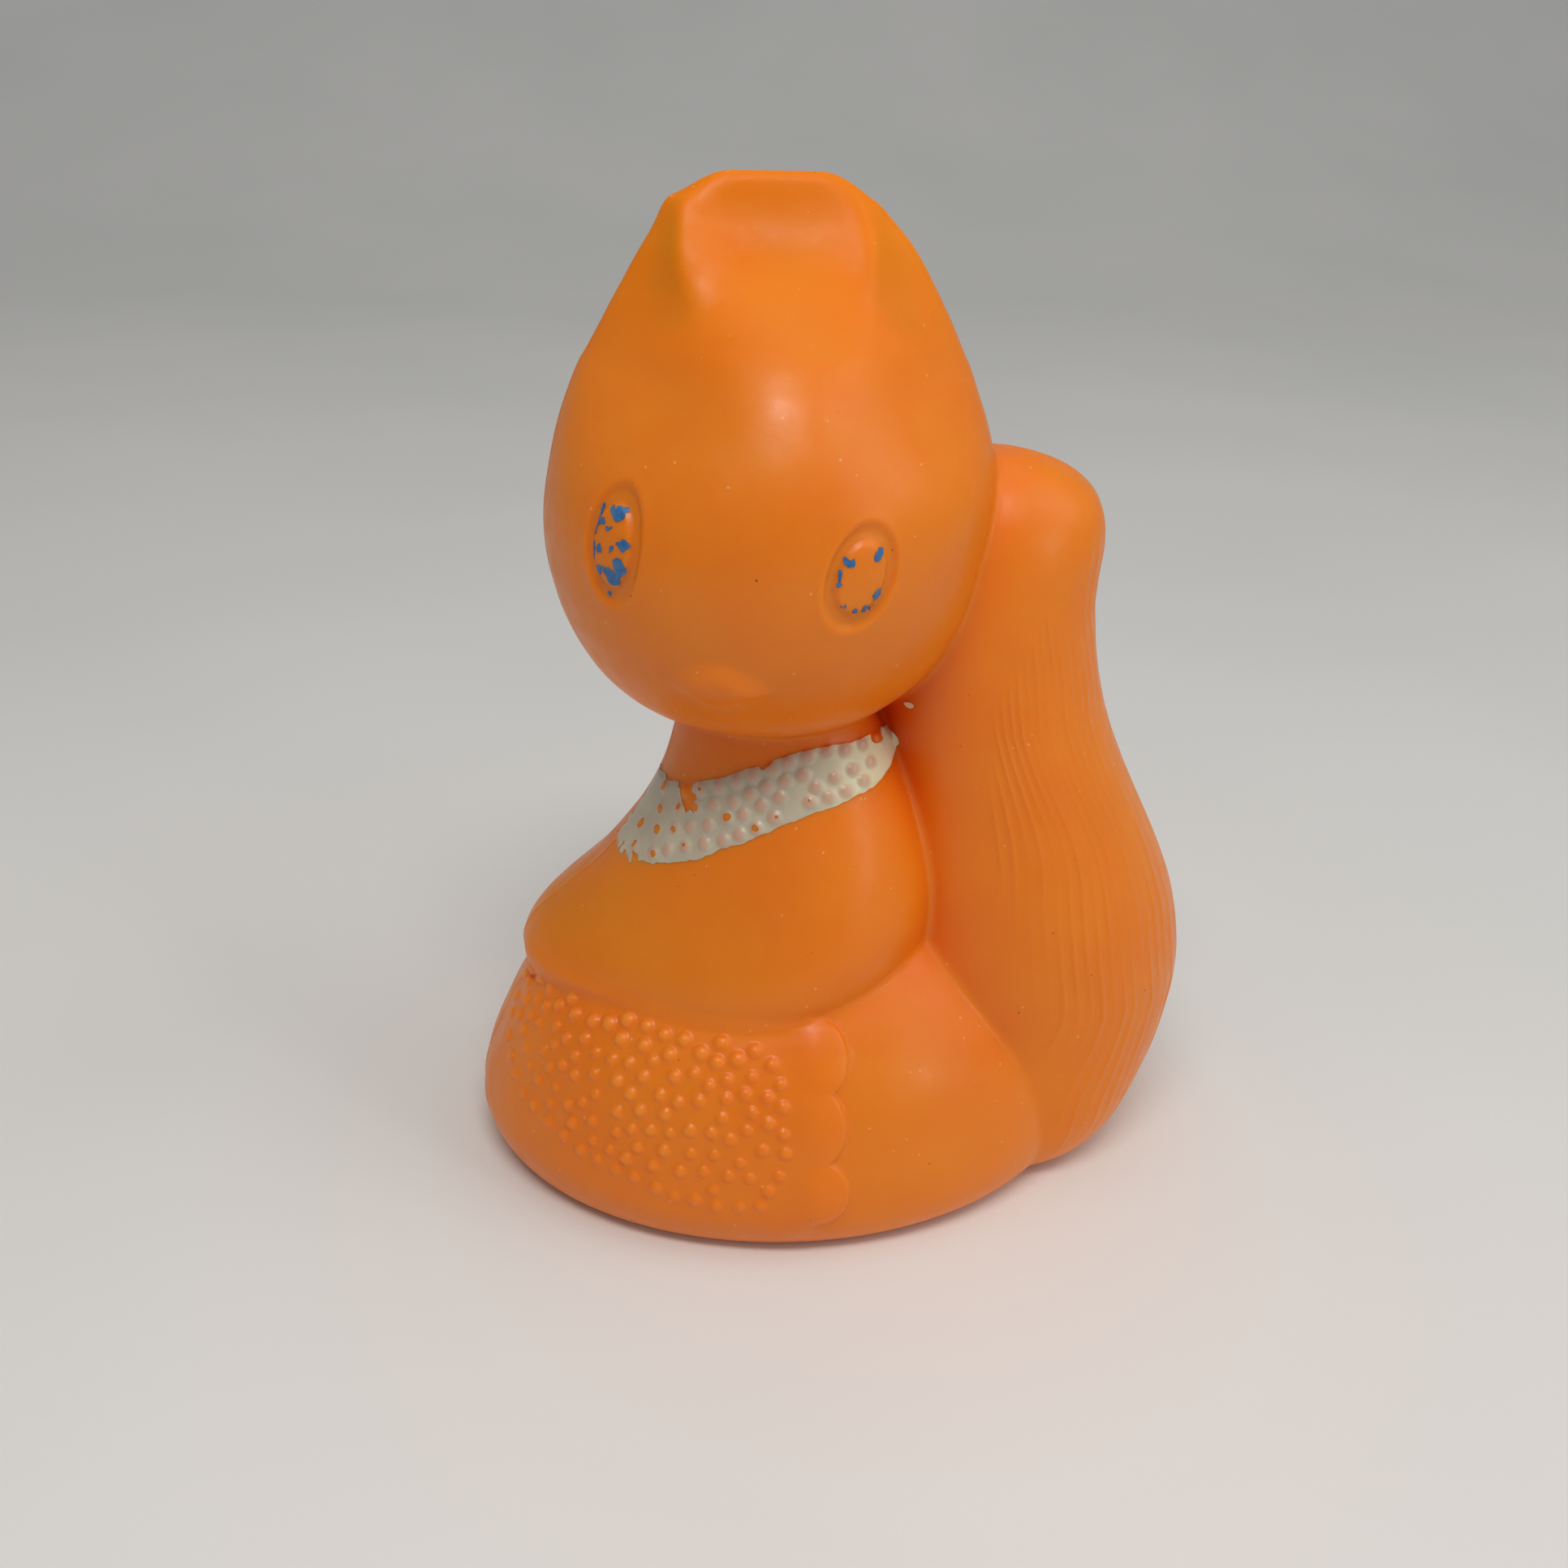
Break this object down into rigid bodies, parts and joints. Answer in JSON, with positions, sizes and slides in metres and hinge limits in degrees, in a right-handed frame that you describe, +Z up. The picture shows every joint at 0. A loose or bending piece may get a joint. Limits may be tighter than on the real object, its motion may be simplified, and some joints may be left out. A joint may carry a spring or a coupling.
{
  "type": "squeeze toy figure",
  "caption": "Hollow moulded squirrel squeeze toy with an upright bushy tail, beaded apron and painted collar, and a reed squeaker pressed into its flat base.",
  "frame": {"origin": "on the ground, under the centre of the toy's box, on the flat base", "axes": "+Z up, -Y the figure's front half, +X the tail side; the mould's seam lies in the XZ plane"},
  "size_m": [0.1138, 0.0786, 0.1493],
  "materials": {
    "orange_plastic": "worn waxy gloss, slightly translucent",
    "white_paint": "aged grey-white paint, chipped",
    "blue_paint": "flaked blue paint",
    "squeaker_plastic": "satin off-white",
    "seal_rubber": "matte",
    "reed_metal": "stamped, satin",
    "reed_brass": "rolled strip"
  },
  "bodies": {
    "toy": {"body_shell": "orange_plastic", "collar_paint": "white_paint", "eye_paint_left": "blue_paint", "eye_paint_right": "blue_paint", "squeaker_cup": "squeaker_plastic", "squeaker_cover": "squeaker_plastic", "seal_ring": "seal_rubber", "reed_plate": "reed_metal", "reed_rivet": "reed_metal"},
    "reed": {"reed_tongue": "reed_brass"}
  },
  "joints": [
    {"name": "reed_bend", "type": "hinge", "parent": "toy", "child": "reed", "pos_m": [-0.0224, 0, 0.0059], "axis": [0, 1, 0], "range_deg": [-3, 3], "stiffness_Nm_per_rad": 0.002}
  ]
}
